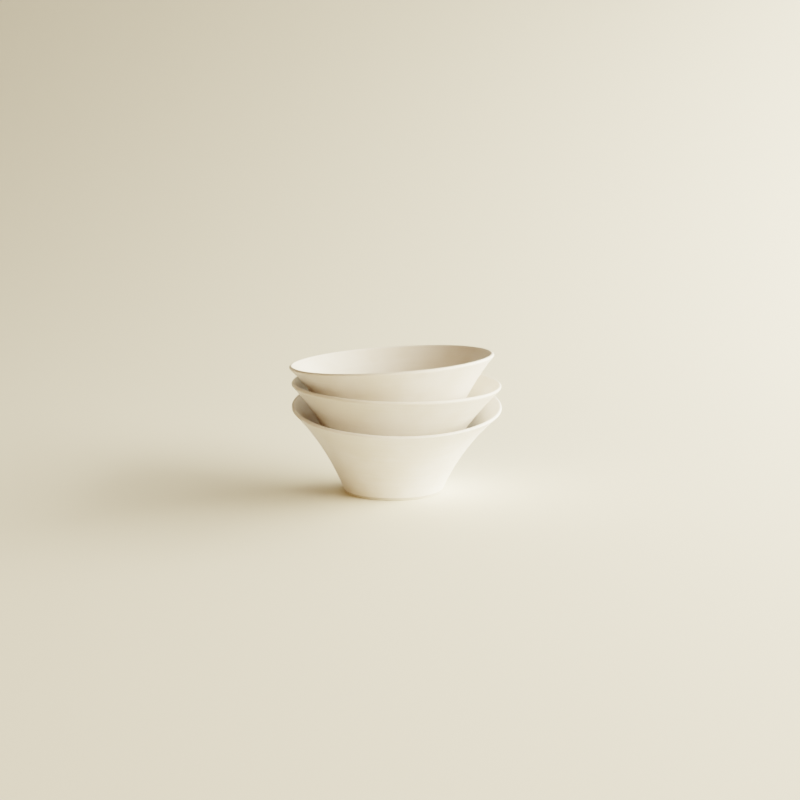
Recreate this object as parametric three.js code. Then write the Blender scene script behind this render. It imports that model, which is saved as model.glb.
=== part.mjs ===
// Three flared porcelain bowls, nested one inside the other. Each bowl is one piece of fired clay: a flat
// foot ring, a thick floor, and a wall that thins and flares out to a round lip. They are made by hand, so
// each rim leans or slopes a little in its own way, and the stacked bowls sit slightly askew.
// Millimetres, +Z up, +X to the right, -Y to the front. The origin is below the middle of the stack.
import * as THREE from "three";

// The section that the three bowls share.
const RIM_RADIUS = 60.2; // outside of the lip
const BOWL_HEIGHT = 50.5; // from the foot to the top of the lip
const FOOT_RADIUS = 28.1; // where the line of the wall would meet the table
const FOOT_EDGE_RADIUS = 0.8; // rounding of the foot's outer edge
const FOOT_RING_WIDTH = 6; // flat ring that the bowl stands on
const RECESS_DEPTH = 1.2; // shallow hollow inside the foot ring
const FLOOR_THICKNESS = 3.8; // in the middle, above the recess
const FLOOR_CURVE_HEIGHT = 18; // where the round floor runs out into the wall
const WALL_THICKNESS = 4.8; // low down, beside the foot
const LIP_THICKNESS = 2.1;
const FOOT_FLARE = THREE.MathUtils.degToRad(22.5); // slope of the wall from upright, at the foot
const RIM_FLARE = THREE.MathUtils.degToRad(43.3); // and at the lip

// How the bowls differ. rimWider and taller are added to the shared size, and rimShift moves the rim to
// the right. rimDrop is the slope of the rim, in degrees: how far its front and its right side fall.
// tip turns a whole bowl in the one below, in degrees, front down and right side down.
const BOWLS = [
  { name: "bottom_bowl", rimWider: 0, taller: 0, rimShift: 2, rimDrop: [7.3, 0.5], tip: [0, 0] },
  { name: "middle_bowl", rimWider: -0.15, taller: 0, rimShift: 1.3, rimDrop: [0, 0], tip: [1, 1] },
  { name: "top_bowl", rimWider: -1.5, taller: 0.8, rimShift: -0.5, rimDrop: [0, 0], tip: [-2.1, -4.6] },
];
const NEST_GAP = 0.3; // clearance between a bowl and the one that it sits in
const LEAN_POWER = 1.5; // a rim's shift and slope grow with this power of the height, from none at the foot

// How finely the curves are divided.
const SEGMENTS_ROUND = 56;
const SEGMENTS_FOOT_EDGE = 2;
const SEGMENTS_WALL = 8;
const SEGMENTS_LIP = 4;
const SEGMENTS_INSIDE = 6;
const SEGMENTS_FLOOR = 5;

// How a bowl's seat is searched for.
const SEARCH_ROUND = 36; // places round the bowl that are tested
const SEARCH_SPACING = 1.5; // and how far apart, up the section
const SEARCH_STEPS = 20; // halvings of the height
const FIRST_SLIDE = 1; // sideways step, halved down to the last
const LAST_SLIDE = 0.1;
const SLIDE_WAYS = [[1, 0], [-1, 0], [0, 1], [0, -1]];
const STRAIGHTEN_ROUNDS = 4; // corrections made to find where a leaning bowl's point was before it leaned

// Glazed porcelain, warm white with a satin surface.
const porcelain = () => new THREE.MeshStandardMaterial({ color: 0xe9e5da, roughness: 0.45, metalness: 0 });

// Unit vector at an angle from upright, leaning outwards.
const leaning = (angle) => new THREE.Vector2(Math.sin(angle), Math.cos(angle));

// Unit vector at a right angle to a direction, on its right-hand side: outwards for a rising wall.
const rightOf = (direction) => new THREE.Vector2(direction.y, -direction.x);

// The point where the line from p along u meets the line from q along v.
function crossing(p, u, q, v) {
  const w = q.clone().sub(p);
  return p.clone().addScaledVector(u, w.cross(v) / u.cross(v));
}

// Points on a round edge, from one direction out of its centre to another.
function arc(centre, radius, from, to, segments) {
  const start = Math.atan2(from.y, from.x);
  const sweep = Math.atan2(from.cross(to), from.dot(to));
  return Array.from({ length: segments + 1 }, (_, i) => {
    const angle = start + (sweep * i) / segments;
    return new THREE.Vector2(centre.x + radius * Math.cos(angle), centre.y + radius * Math.sin(angle));
  });
}

// A bowl's section as points (radius, height): outside from the middle of the recess, under the foot and
// up to the lip, and inside from there down to the middle of the floor.
function section({ rimWider, taller }) {
  const lipRadius = LIP_THICKNESS / 2;
  const lipCentre = new THREE.Vector2(RIM_RADIUS + rimWider - lipRadius, BOWL_HEIGHT + taller - lipRadius);
  const footLine = leaning(FOOT_FLARE);
  const rimLine = leaning(RIM_FLARE);

  // The foot's round edge touches both the table and the line of the wall.
  const edgeInset = FOOT_EDGE_RADIUS * ((1 - Math.sin(FOOT_FLARE)) / Math.cos(FOOT_FLARE));
  const edgeCentre = new THREE.Vector2(FOOT_RADIUS - edgeInset, FOOT_EDGE_RADIUS);
  const down = new THREE.Vector2(0, -1);
  const footEdge = arc(edgeCentre, FOOT_EDGE_RADIUS, down, rightOf(footLine), SEGMENTS_FOOT_EDGE);
  const ringInside = edgeCentre.x - FOOT_RING_WIDTH;
  const underside = [
    new THREE.Vector2(0, RECESS_DEPTH),
    new THREE.Vector2(ringInside - RECESS_DEPTH, RECESS_DEPTH),
    new THREE.Vector2(ringInside, 0),
  ];

  // The outside is one curve that leaves the foot at its flare and reaches the lip at its flare.
  const wallStart = footEdge.at(-1);
  const wallEnd = lipCentre.clone().addScaledVector(rightOf(rimLine), lipRadius);
  const turn = crossing(wallStart, footLine, wallEnd, rimLine);
  const outside = new THREE.QuadraticBezierCurve(wallStart, turn, wallEnd);

  // The inside follows it at the wall's thickness, which is least at the lip.
  const insideAt = (t) => {
    const thickness = LIP_THICKNESS + (WALL_THICKNESS - LIP_THICKNESS) * (1 - t) ** 2;
    return outside.getPoint(t).addScaledVector(rightOf(outside.getTangent(t)), -thickness);
  };
  let [low, high] = [0, 1];
  for (let i = 0; i < SEARCH_STEPS; i++) {
    const middle = (low + high) / 2;
    if (insideAt(middle).y < FLOOR_CURVE_HEIGHT) low = middle;
    else high = middle;
  }
  const inside = Array.from({ length: SEGMENTS_INSIDE + 1 }, (_, i) =>
    insideAt(1 - ((1 - low) * i) / SEGMENTS_INSIDE),
  );

  // The floor is level in the middle and curves up to meet the wall in line with it.
  const floorMiddle = new THREE.Vector2(0, RECESS_DEPTH + FLOOR_THICKNESS);
  const curveEnd = inside.at(-1);
  const curveLine = outside.getTangent(low);
  const level = new THREE.Vector2(1, 0);
  const floor = new THREE.QuadraticBezierCurve(
    curveEnd,
    crossing(curveEnd, curveLine, floorMiddle, level),
    floorMiddle,
  );

  const lip = arc(lipCentre, lipRadius, rightOf(rimLine), rightOf(rimLine).negate(), SEGMENTS_LIP);
  return {
    outside: [...underside, ...footEdge, ...outside.getPoints(SEGMENTS_WALL).slice(1)],
    inside: [...lip.slice(1), ...inside.slice(1), ...floor.getPoints(SEGMENTS_FLOOR).slice(1)],
  };
}

// The share of its rim's lean that a bowl has at a height.
const leanShare = (z) => (Math.max(0, z) / BOWL_HEIGHT) ** LEAN_POWER;

// The rise of a sloping rim at a place on it.
const rimRise = (x, y, { rimDrop: [front, right] }) =>
  y * Math.tan(THREE.MathUtils.degToRad(front)) - x * Math.tan(THREE.MathUtils.degToRad(right));

// Moves a point of a truly round bowl to where it is on the bowl with its own lean and rim slope.
function lean(point, bowl) {
  const share = leanShare(point.z);
  point.z += share * rimRise(point.x, point.y, bowl);
  point.x += share * bowl.rimShift;
  return point;
}

// The other way round, by a few rounds of correction.
function straighten(point, bowl) {
  const round = point.clone();
  for (let i = 0; i < STRAIGHTEN_ROUNDS; i++) {
    const moved = lean(round.clone(), bowl);
    round.add(point).sub(moved);
  }
  return round;
}

// One bowl as a closed solid, standing on its foot.
function bowlGeometry(bowl) {
  const { outside, inside } = section(bowl);
  const geometry = new THREE.LatheGeometry([...outside, ...inside], SEGMENTS_ROUND).rotateX(Math.PI / 2);
  const position = geometry.getAttribute("position");
  const point = new THREE.Vector3();
  for (let i = 0; i < position.count; i++) {
    lean(point.fromBufferAttribute(position, i), bowl);
    position.setXYZ(i, point.x, point.y, point.z);
  }
  geometry.computeVertexNormals();
  return geometry;
}

// A line of points with more put between them, none further apart than SEARCH_SPACING.
function closely(line) {
  return line.slice(1).flatMap((end, i) => {
    const parts = Math.ceil(end.distanceTo(line[i]) / SEARCH_SPACING);
    return Array.from({ length: parts }, (_, k) => line[i].clone().lerp(end, (k + 1) / parts));
  });
}

// How far a point is clear of a line of points, on the line's right-hand side. It is negative on the left.
function clearOf(line, point) {
  const closest = new THREE.Vector2();
  let least = Infinity;
  let side = 1;
  for (let i = 1; i < line.length; i++) {
    const along = line[i].clone().sub(line[i - 1]);
    const offset = point.clone().sub(line[i - 1]);
    const share = THREE.MathUtils.clamp(offset.dot(along) / along.lengthSq(), 0, 1);
    const distance = closest.copy(line[i - 1]).addScaledVector(along, share).distanceTo(point);
    if (distance < least) {
      least = distance;
      side = along.cross(offset) > 0 ? -1 : 1;
    }
  }
  return side * least;
}

// Where a tipped bowl sits in the one below it: it comes down until NEST_GAP is left, and slides sideways
// to the place where it comes down furthest.
function seat(upper, lower) {
  const outside = closely(section(upper).outside);
  const { inside } = section(lower);
  const [front, right] = upper.tip.map(THREE.MathUtils.degToRad);
  const turn = new THREE.Euler(front, right, 0);
  const skin = [];
  for (let k = 0; k < SEARCH_ROUND; k++) {
    const angle = (2 * Math.PI * k) / SEARCH_ROUND;
    for (const p of outside) {
      const point = new THREE.Vector3(p.x * Math.cos(angle), p.x * Math.sin(angle), p.y);
      skin.push(lean(point, upper).applyEuler(turn));
    }
  }
  const isClear = (foot) =>
    skin.every((p) => {
      const q = straighten(p.clone().add(foot), lower);
      return clearOf(inside, new THREE.Vector2(Math.hypot(q.x, q.y), q.z)) >= NEST_GAP;
    });
  const lowered = (x, y) => {
    let [low, high] = [inside.at(-1).y, BOWL_HEIGHT];
    for (let i = 0; i < SEARCH_STEPS; i++) {
      const middle = (low + high) / 2;
      if (isClear(new THREE.Vector3(x, y, middle))) high = middle;
      else low = middle;
    }
    return new THREE.Vector3(x, y, high);
  };
  let foot = lowered(0, 0);
  for (let step = FIRST_SLIDE; step > LAST_SLIDE; step /= 2) {
    let lowerPlace = foot;
    while (lowerPlace) {
      foot = lowerPlace;
      const around = SLIDE_WAYS.map(([x, y]) => lowered(foot.x + step * x, foot.y + step * y));
      lowerPlace = around.find((place) => place.z < foot.z);
    }
  }
  return { foot, turn };
}

// Each bowl is held by the one below it, so that tipping a bowl tips all that is on it.
const stack = new THREE.Group();
let below = stack;
BOWLS.forEach((bowl, i) => {
  const holder = new THREE.Group();
  if (i > 0) {
    const { foot, turn } = seat(bowl, BOWLS[i - 1]);
    holder.position.copy(foot);
    holder.rotation.copy(turn);
  }
  const mesh = new THREE.Mesh(bowlGeometry(bowl), porcelain());
  mesh.name = bowl.name;
  holder.add(mesh);
  below.add(holder);
  below = holder;
});

// The stack stands on the origin's plane, with the origin below the middle of its outline.
const { min, max } = new THREE.Box3().setFromObject(stack, true);
stack.position.set(-(min.x + max.x) / 2, -(min.y + max.y) / 2, -min.z);

const group = new THREE.Group();
group.add(stack);

export default group;
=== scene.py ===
import bpy
import numpy as np
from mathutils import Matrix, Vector


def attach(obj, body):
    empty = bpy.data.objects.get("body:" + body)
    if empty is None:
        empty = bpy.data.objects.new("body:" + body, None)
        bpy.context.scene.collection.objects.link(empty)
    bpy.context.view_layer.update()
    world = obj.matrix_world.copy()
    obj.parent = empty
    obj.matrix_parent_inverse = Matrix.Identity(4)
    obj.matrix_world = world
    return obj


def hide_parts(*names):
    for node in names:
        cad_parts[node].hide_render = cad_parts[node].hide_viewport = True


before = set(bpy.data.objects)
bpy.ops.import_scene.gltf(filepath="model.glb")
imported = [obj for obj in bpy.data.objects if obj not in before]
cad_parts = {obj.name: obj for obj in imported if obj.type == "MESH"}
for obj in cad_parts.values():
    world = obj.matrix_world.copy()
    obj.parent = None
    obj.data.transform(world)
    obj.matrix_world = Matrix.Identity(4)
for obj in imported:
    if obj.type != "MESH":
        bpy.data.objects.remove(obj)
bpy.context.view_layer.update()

# ---------------------------------------------------------------------------------------------------------
# The three bowls. Each is one piece of porcelain clay, thrown on a wheel to a flared wall that thins to a
# round lip. Its foot was turned flat with a shallow recess inside the foot ring, and it was fired with a
# satin glaze. They share one section, and each rim leans or slopes in its own way.

RIM_RADIUS = 0.0602  # outside of the lip, in metres
BOWL_HEIGHT = 0.0505
FOOT_RADIUS = 0.0281  # where the line of the wall would meet the table
FOOT_EDGE_RADIUS = 0.0008
FOOT_RING_WIDTH = 0.006
RECESS_DEPTH = 0.0012
FLOOR_THICKNESS = 0.0038
FLOOR_CURVE_HEIGHT = 0.018  # where the round floor runs out into the wall
WALL_THICKNESS = 0.0048  # low down, thinning to the lip
LIP_THICKNESS = 0.0021
FOOT_FLARE = np.radians(22.5)  # slope of the wall from upright, at the foot
RIM_FLARE = np.radians(43.3)  # and at the lip
LEAN_POWER = 1.5  # a rim's shift and slope grow with this power of the height
UNDERSIDE_SLOPE = np.radians(10)  # faces that are nearer than this to straight down are the underside

# Marks of the hand, all within the bowl's true size.
RIM_LOBES = ((2, 0.00009), (3, 0.00005), (4, 0.00003))  # lobes round the bowl, and the depth of each
RIM_WAVES, RIM_WAVE_DEPTH = 5, 0.00006
RIDGE_SPACING, RIDGE_DEPTH, RIDGE_DRIFT = 0.0058, 0.000026, 0.6  # the drift is in radians
RIDGE_FREE_HEIGHT, RIDGE_FREE_RADIUS = 0.006, 0.02  # below and within which the ridges fade out

# How finely a bowl is divided: round it, and along each stretch of its section.
ROUND_STEPS = 288
RECESS_STEPS, RING_SLOPE_STEPS, RING_STEPS, FOOT_EDGE_STEPS = 11, 5, 7, 8
WALL_STEPS, LIP_STEPS, INSIDE_STEPS, FLOOR_STEPS = 60, 20, 60, 48
SEARCH_STEPS = 600  # along the inside, to find where the floor's curve ends


def leaning(angle):
    """The unit vector (radius, height) at an angle from upright, leaning outwards."""
    return np.array([np.sin(angle), np.cos(angle)])


def right_of(direction):
    """The unit vector at a right angle to a direction, on its right: outwards from a rising wall."""
    return np.stack([direction[..., 1], -direction[..., 0]], axis=-1)


def crossing(p, u, q, v):
    """The point p + s u where the line from p along u meets the line from q along v."""
    s, _ = np.linalg.solve(np.column_stack([u, -v]), q - p)
    return p + s * u


def arc(centre, radius, start, end, steps):
    """Points centre + radius (cos a, sin a) with the angle a, in radians, going evenly from start to end."""
    a = np.linspace(start, end, steps + 1)
    return centre + radius * np.column_stack([np.cos(a), np.sin(a)])


def bezier(a, b, c, t):
    """The curve (1-t)^2 a + 2 t (1-t) b + t^2 c, for an array of t from 0 to 1."""
    t = t[:, None]
    return (1 - t) ** 2 * a + 2 * t * (1 - t) * b + t**2 * c


def bezier_line(a, b, c, t):
    """The same curve's unit tangent, along (1-t) (b-a) + t (c-b)."""
    t = t[:, None]
    slope = (1 - t) * (b - a) + t * (c - b)
    return slope / np.linalg.norm(slope, axis=1, keepdims=True)


def bowl_outline(rim_wider, taller):
    """A bowl's section as (radius, height) points, from the middle of the recess, out under the foot, up the
    outside, over the lip and down the inside to the middle of the floor. The outside is a curve between
    the foot's flare and the lip's. The inside is that curve moved in by a thickness that grows with the
    square of the distance from the lip. The floor is a curve from there to level in the middle."""
    lip = LIP_THICKNESS / 2
    lip_centre = np.array([RIM_RADIUS + rim_wider - lip, BOWL_HEIGHT + taller - lip])
    foot_line, rim_line = leaning(FOOT_FLARE), leaning(RIM_FLARE)

    inset = FOOT_EDGE_RADIUS * (1 - np.sin(FOOT_FLARE)) / np.cos(FOOT_FLARE)
    edge_centre = np.array([FOOT_RADIUS - inset, FOOT_EDGE_RADIUS])
    foot_edge = arc(edge_centre, FOOT_EDGE_RADIUS, -np.pi / 2, -FOOT_FLARE, FOOT_EDGE_STEPS)
    wall_end = lip_centre + lip * right_of(rim_line)
    wall = foot_edge[-1], crossing(foot_edge[-1], foot_line, wall_end, rim_line), wall_end
    outside = bezier(*wall, np.linspace(0, 1, WALL_STEPS + 1))

    def inside_at(t):
        thickness = LIP_THICKNESS + (WALL_THICKNESS - LIP_THICKNESS) * (1 - t) ** 2
        return bezier(*wall, t) - right_of(bezier_line(*wall, t)) * thickness[:, None]

    whole = np.linspace(0, 1, SEARCH_STEPS)
    wall_foot = np.interp(FLOOR_CURVE_HEIGHT, inside_at(whole)[:, 1], whole)
    t = np.linspace(1, wall_foot, INSIDE_STEPS + 1)
    inside = inside_at(t)
    floor_middle = np.array([0, RECESS_DEPTH + FLOOR_THICKNESS])
    bend = crossing(inside[-1], bezier_line(*wall, t)[-1], floor_middle, np.array([1.0, 0.0]))
    floor = bezier(inside[-1], bend, floor_middle, np.linspace(0, 1, FLOOR_STEPS + 1))

    ring_inside = np.array([edge_centre[0] - FOOT_RING_WIDTH, 0])
    recess_edge = ring_inside + [-RECESS_DEPTH, RECESS_DEPTH]
    recess = np.linspace([0, RECESS_DEPTH], recess_edge, RECESS_STEPS + 1)
    ring_slope = np.linspace(recess_edge, ring_inside, RING_SLOPE_STEPS + 1)
    ring = np.linspace(ring_inside, foot_edge[0], RING_STEPS + 1)
    over_lip = arc(lip_centre, lip, -RIM_FLARE, np.pi - RIM_FLARE, LIP_STEPS)
    stretches = [ring_slope, ring, foot_edge, outside, over_lip, inside, floor]
    return np.vstack([recess] + [stretch[1:] for stretch in stretches])


def foot_frame(node):
    """The middle of a bowl's foot, and the unit vectors of its right, back and up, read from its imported
    solid. The foot ring is the lowest part of the flat underside, and up is opposite to its normals."""
    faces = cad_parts[node].data.polygons
    normal, centre, area = np.empty(3 * len(faces)), np.empty(3 * len(faces)), np.empty(len(faces))
    faces.foreach_get("normal", normal)
    faces.foreach_get("center", centre)
    faces.foreach_get("area", area)
    normal, centre = normal.reshape(-1, 3), centre.reshape(-1, 3)
    under = normal[:, 2] < -np.cos(UNDERSIDE_SLOPE)
    normal, centre, area = normal[under], centre[under], area[under]
    height = -centre @ np.average(normal, axis=0, weights=area)
    ring = height < height.min() + RECESS_DEPTH / 2
    up = -np.average(normal[ring], axis=0, weights=area[ring])
    up /= np.linalg.norm(up)
    right = np.array([1.0, 0.0, 0.0])
    right -= (right @ up) * up
    right /= np.linalg.norm(right)
    return np.average(centre[ring], axis=0, weights=area[ring]), np.array([right, np.cross(up, right), up])


def hand_marks(angle, along, radius, height, share, seed):
    """How far the wall is pulled in from a true circle, and the rim pulled down, in metres. The wall goes
    slightly out of round, as a sum of depth (1 + cos(lobes angle)), growing to the lip. Low ridges left by
    the fingers follow the section, as a sine of the distance along it that drifts a little on the way
    round, and fade out to the foot and to the middle of the floor. The rim rises and falls as a sine."""
    draw = np.random.default_rng(seed)
    out_of_round = sum(
        depth * (1 + np.cos(lobes * angle + draw.uniform(0, 2 * np.pi))) for lobes, depth in RIM_LOBES
    )
    drift = RIDGE_DRIFT * np.sin(angle + draw.uniform(0, 2 * np.pi))
    ridges = RIDGE_DEPTH * (1 + np.sin(2 * np.pi * along / RIDGE_SPACING + drift))
    fade = np.clip(height / RIDGE_FREE_HEIGHT, 0, 1) * np.clip(radius / RIDGE_FREE_RADIUS, 0, 1)
    wave = RIM_WAVE_DEPTH * (1 + np.sin(RIM_WAVES * angle + draw.uniform(0, 2 * np.pi)))
    return out_of_round * share + ridges * fade, wave * share


def make_bowl(node, rim_wider, taller, rim_shift, front_drop, right_drop, seed):
    """A bowl as one closed skin: its outline turned round its axis. Each point then leans with its rim:
    it moves right by the share times rim_shift, and up by the share times the rim's slope at that place,
    where the share is (height / bowl height) to the power LEAN_POWER."""
    outline = bowl_outline(rim_wider, taller)
    along = np.concatenate([[0], np.cumsum(np.linalg.norm(np.diff(outline, axis=0), axis=1))])
    angle = np.linspace(0, 2 * np.pi, ROUND_STEPS, endpoint=False)
    radius, height = outline[1:-1, 0][:, None], outline[1:-1, 1][:, None]
    share = (np.clip(height, 0, None) / BOWL_HEIGHT) ** LEAN_POWER
    pulled_in, pulled_down = hand_marks(angle, along[1:-1][:, None], radius, height, share, seed)
    x, y = (radius - pulled_in) * np.cos(angle), (radius - pulled_in) * np.sin(angle)
    z = height - pulled_down + share * (y * np.tan(front_drop) - x * np.tan(right_drop))
    rings = np.stack([x + share * rim_shift, y, z], axis=-1).reshape(-1, 3)
    poles = [[0, 0, outline[0, 1]], [0, 0, outline[-1, 1]]]
    middle, axes = foot_frame(node)
    points = np.vstack([rings, poles]) @ axes + middle

    rows = len(outline) - 2
    here = np.arange(rows * ROUND_STEPS).reshape(rows, ROUND_STEPS)
    after = np.roll(here, -1, axis=1)
    walls = np.stack([here[:-1], after[:-1], after[1:], here[1:]], axis=-1).reshape(-1, 4)
    under, over = rows * ROUND_STEPS, rows * ROUND_STEPS + 1
    under_fan = np.stack([np.full(ROUND_STEPS, under), after[0], here[0]], axis=-1)
    over_fan = np.stack([np.full(ROUND_STEPS, over), here[-1], after[-1]], axis=-1)
    mesh = bpy.data.meshes.new(node + "_glazed")
    mesh.from_pydata(points.tolist(), [], under_fan.tolist() + walls.tolist() + over_fan.tolist())
    mesh.shade_smooth()

    from_lip = along - along[np.argmax(outline[:, 1])]  # above 0 inside the bowl, below 0 outside
    for name, value in (("up_the_bowl", outline[:, 1]), ("from_lip", from_lip)):
        spread = np.concatenate([np.repeat(value[1:-1], ROUND_STEPS), value[[0, -1]]])
        mesh.attributes.new(name, "FLOAT", "POINT").data.foreach_set("value", spread)
    bowl = bpy.data.objects.new(mesh.name, mesh)
    bpy.context.scene.collection.objects.link(bowl)
    return bowl


# The glaze. It is thin and slightly warm, pitted as finely as the skin of an egg, and shows the lines that
# turning left under it. It pools on the floor, runs thin at the lip and is wiped off the foot ring, so
# that the bowl doesn't stick to the kiln shelf. Just above the foot ring a dark band is painted: partly the
# brown line the fire leaves where the glaze ends, partly painted shade for the contact shadow under the
# foot.

GLAZE_ROUGHNESS, SMEAR_ROUGHNESS, BARE_ROUGHNESS = 0.38, 0.05, 0.35  # the last two are added to the first
# The dark band over the foot ring: partly the fire's brown line, partly painted shade for the contact shadow
# under the foot.
BARE_CLAY, TOASTED_AND_SHADED_CLAY, TOAST_AND_SHADE_SHARE = (0.80, 0.765, 0.69), (0.52, 0.475, 0.41), 0.8
CLEAR_TONE, CLOUDY_TONE = (1.02, 1.02, 1.02), (0.968, 0.952, 0.918)  # times a bowl's own colour
POOL_TONE, LIP_TONE = (0.96, 0.945, 0.90), (1.03, 1.03, 1.03)
CLOUD_SIZE, CLOUD_RANGE = 0.022, (0.36, 0.64)
SMEAR_SIZE, SMEAR_RANGE = 0.004, (0.3, 0.7)
LINE_SIZE, LINE_SQUEEZE, LINE_TONE = 0.0015, (0.04, 0.04, 0), 0.35  # squeezed noise runs long round the bowl
PIT_SIZE, PIT_RELIEF, LINE_RELIEF = 0.0014, 0.5, 0.7
RELIEF_STRENGTH, RELIEF_DEPTH = 0.5, 0.00008

# Where each mask begins and ends, as heights, or as distances from the lip: above 0 inside, below 0 outside.
BARE_HEIGHT, TOAST_AND_SHADE_HEIGHT, POOL_HEIGHT = (0.0005, 0.0009), (0.0009, 0.0021), (0.005, 0.016)
FOOT_FROM_LIP, POOL_FROM_LIP, THIN_FROM_LIP = (-0.064, -0.061), (0.045, 0.05), (0.0006, 0.0022)


def node_group(name, inputs, outputs):
    """A new shader group with the named number inputs, given as (name, value), and the named outputs."""
    group = bpy.data.node_groups.new(name, "ShaderNodeTree")
    for label, value in inputs:
        socket = group.interface.new_socket(label, in_out="INPUT", socket_type="NodeSocketFloat")
        socket.default_value = value
    for label in outputs:
        group.interface.new_socket(label, in_out="OUTPUT", socket_type="NodeSocketFloat")
    return group, group.nodes.new("NodeGroupInput").outputs, group.nodes.new("NodeGroupOutput").inputs


def add_node(tree, kind, inputs=(), **settings):
    """A node of that kind with its settings made, and its inputs, by name or number, linked or given."""
    node = tree.nodes.new(kind)
    for key, value in settings.items():
        setattr(node, key, value)
    for key, value in dict(inputs).items():
        if isinstance(value, bpy.types.NodeSocket):
            tree.links.new(value, node.inputs[key])
        else:
            node.inputs[key].default_value = value
    return node


def reckon(tree, operation, *values):
    """The result of a Math node on its values, each a number or a link."""
    return add_node(tree, "ShaderNodeMath", enumerate(values), operation=operation).outputs[0]


def between(tree, value, span, out_low=0.0, out_high=1.0):
    """The value brought from its span, a pair, into the range out_low to out_high, smoothly."""
    low, high = span
    settings = {"Value": value, "From Min": low, "From Max": high, "To Min": out_low, "To Max": out_high}
    return add_node(tree, "ShaderNodeMapRange", settings, interpolation_type="SMOOTHSTEP").outputs[0]


def until(tree, value, span):
    """1 below the span and 0 above it, smoothly."""
    return between(tree, value, span, 1.0, 0.0)


def noise(tree, place, size, detail):
    """Cloudy noise from 0 to 1 with features of about that size, in metres."""
    settings = {"Vector": place, "Scale": 1 / size, "Detail": detail}
    return add_node(tree, "ShaderNodeTexNoise", settings).outputs["Fac"]


def glaze_group():
    """Masks and relief for glazed porcelain. Tone drifts over centimetres and from one turning line to the
    next. Thick is where the glaze pools on the floor, Thin is the lip, Bare is the wiped foot ring, and the
    toast-and-shade mask is the dark band above it: partly the brown line the fire leaves, partly painted
    shade for the contact shadow under the foot. Relief is the turning lines and the pits, and Rough the
    roughness."""
    inputs = (("Roughness", 0.4), ("Seed", 0.0))
    outputs = ("Tone", "Thick", "Thin", "Bare", "ToastAndShade", "Rough", "Relief")
    tree, given, out = node_group("glaze", inputs, outputs)
    place = add_node(tree, "ShaderNodeTexCoord").outputs["Object"]
    seed = add_node(tree, "ShaderNodeCombineXYZ", {i: given["Seed"] for i in range(3)}).outputs[0]
    place = add_node(tree, "ShaderNodeVectorMath", {0: place, 1: seed}).outputs[0]
    height = add_node(tree, "ShaderNodeAttribute", attribute_name="up_the_bowl").outputs["Fac"]
    from_lip = add_node(tree, "ShaderNodeAttribute", attribute_name="from_lip").outputs["Fac"]

    along = add_node(tree, "ShaderNodeCombineXYZ", {"X": from_lip}).outputs[0]
    squeeze = {0: place, 1: LINE_SQUEEZE, 2: along}
    line_place = add_node(tree, "ShaderNodeVectorMath", squeeze, operation="MULTIPLY_ADD").outputs[0]
    lines = noise(tree, line_place, LINE_SIZE, 3.0)
    pits = noise(tree, place, PIT_SIZE, 2.0)
    clouds = noise(tree, place, CLOUD_SIZE, 3.0)
    smears = noise(tree, place, SMEAR_SIZE, 2.0)

    bare = until(tree, height, BARE_HEIGHT)
    # The band over the foot ring: the fire's brown line, darkened further as painted contact shade under the
    # foot.
    toast_and_shade = reckon(tree, "SUBTRACT", until(tree, height, TOAST_AND_SHADE_HEIGHT), bare)
    rough = between(tree, smears, SMEAR_RANGE, -SMEAR_ROUGHNESS, SMEAR_ROUGHNESS)
    rough = reckon(tree, "ADD", rough, given["Roughness"])
    pool = reckon(tree, "MULTIPLY", until(tree, height, POOL_HEIGHT), between(tree, from_lip, POOL_FROM_LIP))
    pitted = reckon(tree, "MULTIPLY", pits, PIT_RELIEF)
    values = {
        "Tone": reckon(tree, "MULTIPLY_ADD", reckon(tree, "SUBTRACT", lines, 0.5), LINE_TONE, clouds),
        "Thick": pool,
        "Thin": until(tree, reckon(tree, "ABSOLUTE", from_lip), THIN_FROM_LIP),
        "Bare": bare,
        "ToastAndShade": reckon(tree, "MULTIPLY", toast_and_shade, between(tree, from_lip, FOOT_FROM_LIP)),
        "Rough": reckon(tree, "MULTIPLY_ADD", bare, BARE_ROUGHNESS, rough),
        "Relief": reckon(tree, "MULTIPLY_ADD", lines, LINE_RELIEF, pitted),
    }
    for label, value in values.items():
        tree.links.new(value, out[label])
    return tree


GLAZE = glaze_group()


def toned(colour, tone=(1, 1, 1)):
    """A colour with each part multiplied by the tone's, kept to 1 at most, and with alpha 1."""
    return [min(1.0, part * factor) for part, factor in zip(colour, tone)] + [1.0]


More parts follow.
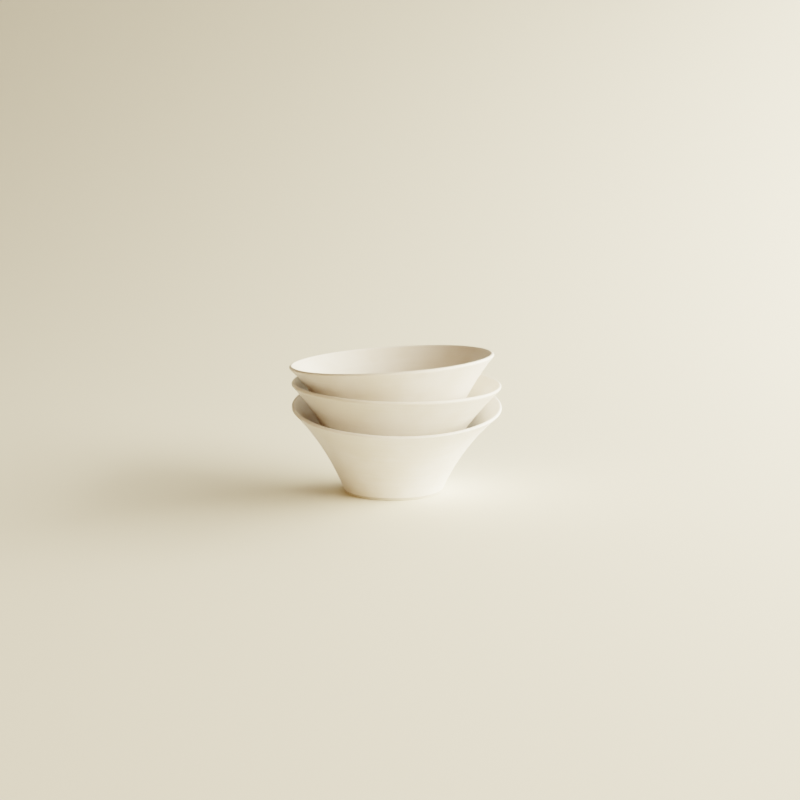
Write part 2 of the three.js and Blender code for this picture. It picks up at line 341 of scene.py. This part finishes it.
def porcelain(name, colour, seed):
    """Glazed porcelain of a given base colour. The tone drifts between two near shades. Thick glaze is
    warmer, the thin lip is nearer to white, and the foot shows the clay. A dark band at the glaze's edge is
    partly the brown line the fire leaves and partly painted shade for the contact shadow under the foot."""
    material = bpy.data.materials.new(name)
    material.use_nodes = True
    tree = material.node_tree
    shader = tree.nodes["Principled BSDF"]
    glaze = add_node(tree, "ShaderNodeGroup", node_tree=GLAZE)
    glaze.inputs["Roughness"].default_value = GLAZE_ROUGHNESS
    glaze.inputs["Seed"].default_value = seed
    masks = glaze.outputs

    shade = toned(colour, CLEAR_TONE)
    layers = (
        (between(tree, masks["Tone"], CLOUD_RANGE), toned(colour, CLOUDY_TONE)),
        (masks["Thick"], toned(colour, POOL_TONE)),
        (masks["Thin"], toned(colour, LIP_TONE)),
        # Painted shade: this dark band stands for the contact shadow under the foot as well as the fire's
        # brown line.
        (reckon(tree, "MULTIPLY", masks["ToastAndShade"], TOAST_AND_SHADE_SHARE), toned(TOASTED_AND_SHADED_CLAY)),
        (masks["Bare"], toned(BARE_CLAY)),
    )
    for share, layer in layers:
        mix = {"Factor": share, 6: shade, 7: layer}  # 6 and 7 are the Mix node's two colours
        shade = add_node(tree, "ShaderNodeMix", mix, data_type="RGBA").outputs[2]
    tree.links.new(shade, shader.inputs["Base Color"])
    tree.links.new(masks["Rough"], shader.inputs["Roughness"])
    bump = {"Strength": RELIEF_STRENGTH, "Distance": RELIEF_DEPTH, "Height": masks["Relief"]}
    tree.links.new(add_node(tree, "ShaderNodeBump", bump).outputs[0], shader.inputs["Normal"])
    return material


def place_bowl(node, slot, seed, colour, **shape):
    """Makes one bowl in the place of its plain solid, glazes it, and lets it move with its body."""
    bowl = make_bowl(node, seed=seed, **shape)
    bowl.data.materials.append(porcelain(slot, colour, seed))
    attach(bowl, node)
    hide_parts(node)


# The bottom bowl's rim sank to the front while the clay was soft, so it is high at the back.
# Its base colour is lighter than the others': painted light for the bounce from the paper onto its low wall.
place_bowl(
    "bottom_bowl", "porcelain_bottom", seed=1, colour=(0.90, 0.878, 0.862),
    rim_wider=0, taller=0, rim_shift=0.002, front_drop=np.radians(7.3), right_drop=np.radians(0.5),
)

# The middle bowl has a level rim. Its base colour is darker and warmer than the others' all over: painted
# shade for the light that the bowls above and below keep off it.
place_bowl(
    "middle_bowl", "porcelain_middle", seed=2, colour=(0.815, 0.78, 0.735),
    rim_wider=-0.00015, taller=0, rim_shift=0.0013, front_drop=0, right_drop=0,
)

# The top bowl is slightly narrower and taller, and sits tipped to the left.
place_bowl(
    "top_bowl", "porcelain_top", seed=3, colour=(0.855, 0.82, 0.785),
    rim_wider=-0.0015, taller=0.0008, rim_shift=-0.0005, front_drop=0, right_drop=0,
)

# ---------------------------------------------------------------------------------------------------------
# The studio. A wide roll of cream paper lies on the table and sweeps up behind the bowls with no edge. A
# long low window to the right lights them, with a smaller one behind it. The room in front and the ceiling
# give back a little warm light.

PAPER_FRONT, BEND_START, BEND_RADIUS, PAPER_TOP = -1.6, 0.3, 2.0, 2.6
PAPER_LEFT, PAPER_RIGHT = -2.0, 1.14  # the right edge lies under the window
CREAM = (0.82, 0.79, 0.70, 1.0)
PAPER_ROUGHNESS = 0.9
FLAT_STEPS, BEND_STEPS, WALL_PAPER_STEPS, WIDTH_STEPS = 23, 32, 11, 32


def paper_sweep():
    """A sheet carried sideways along a line that runs level to the back, turns up a quarter circle, then
    rises straight."""
    flat = np.linspace([PAPER_FRONT, 0], [BEND_START, 0], FLAT_STEPS + 1)
    bend = arc(np.array([BEND_START, BEND_RADIUS]), BEND_RADIUS, -np.pi / 2, 0, BEND_STEPS)
    wall = np.linspace(bend[-1], [bend[-1, 0], PAPER_TOP], WALL_PAPER_STEPS + 1)
    line = np.vstack([flat, bend[1:], wall[1:]])
    across = np.linspace(PAPER_LEFT, PAPER_RIGHT, WIDTH_STEPS + 1)
    x, y = np.meshgrid(across, line[:, 0])
    z = np.broadcast_to(line[:, 1:], x.shape)
    here = np.arange(x.size).reshape(x.shape)
    quads = np.stack([here[:-1, :-1], here[:-1, 1:], here[1:, 1:], here[1:, :-1]], axis=-1)
    mesh = bpy.data.meshes.new("paper_sweep")
    points = np.stack([x, y, z], axis=-1)
    mesh.from_pydata(points.reshape(-1, 3).tolist(), [], quads.reshape(-1, 4).tolist())
    mesh.shade_smooth()
    sheet = bpy.data.objects.new("paper_sweep", mesh)
    bpy.context.scene.collection.objects.link(sheet)
    return sheet


paper = bpy.data.materials.new("cream_paper")
paper.use_nodes = True
paper.node_tree.nodes["Principled BSDF"].inputs["Base Color"].default_value = CREAM
paper.node_tree.nodes["Principled BSDF"].inputs["Roughness"].default_value = PAPER_ROUGHNESS
sweep = paper_sweep()
sweep.data.materials.append(paper)

DAYLIGHT, WARM_ROOM, WARM_CEILING = (1.0, 0.90, 0.68), (1.0, 0.49, 0.13), (1.0, 0.78, 0.50)
LIT_PLACE = Vector((0, 0, 0.05))


def soft_light(name, place, width, height, watts, colour):
    """A rectangular light at a place, turned to face the bowls."""
    lamp = bpy.data.lights.new(name, "AREA")
    lamp.shape = "RECTANGLE"
    lamp.size, lamp.size_y, lamp.energy, lamp.color = width, height, watts, colour
    light = bpy.data.objects.new(name, lamp)
    light.location = place
    light.rotation_euler = (LIT_PLACE - Vector(place)).to_track_quat("-Z", "Y").to_euler()
    bpy.context.scene.collection.objects.link(light)


soft_light("window", (1.12, -0.05, 0.45), 2.0, 0.7, 102, DAYLIGHT)
soft_light("far_window", (0.95, 1.2, 0.8), 1.0, 0.8, 16, DAYLIGHT)
soft_light("room", (-0.8, -2.1, 0.9), 1.6, 1.2, 18, WARM_ROOM)
soft_light("ceiling", (0, -0.3, 2.0), 1.6, 1.6, 5, WARM_CEILING)

# Past the paper's edges the wall of the room shows. It is pale, but gives almost no light.
WALL_COLOUR, WALL_SEEN, WALL_LIGHT = (1.0, 0.90, 0.76, 1.0), 2.2, 0.02

world = bpy.data.worlds.new("room")
world.use_nodes = True
tree = world.node_tree
seen = add_node(tree, "ShaderNodeLightPath").outputs["Is Camera Ray"]
wall = tree.nodes["Background"]
wall.inputs["Color"].default_value = WALL_COLOUR
strength = reckon(tree, "MULTIPLY_ADD", seen, WALL_SEEN - WALL_LIGHT, WALL_LIGHT)
tree.links.new(strength, wall.inputs["Strength"])
bpy.context.scene.world = world
bpy.context.scene.view_settings.view_transform = "Filmic"

# ---------------------------------------------------------------------------------------------------------
# The camera stands almost a metre to the front, a little above the bowls, and looks slightly down at them.

LENS, FRAME_WIDTH = 50, 24  # in millimetres
CAMERA_PLACE, CAMERA_TILT = (0.0025, -0.94, 0.2175), np.radians(80.05)  # the tilt is from straight down

camera = bpy.data.objects.new("camera", bpy.data.cameras.new("camera"))
camera.data.lens, camera.data.sensor_width = LENS, FRAME_WIDTH
camera.location = CAMERA_PLACE
camera.rotation_euler = (CAMERA_TILT, 0, 0)
bpy.context.scene.collection.objects.link(camera)
bpy.context.scene.camera = camera
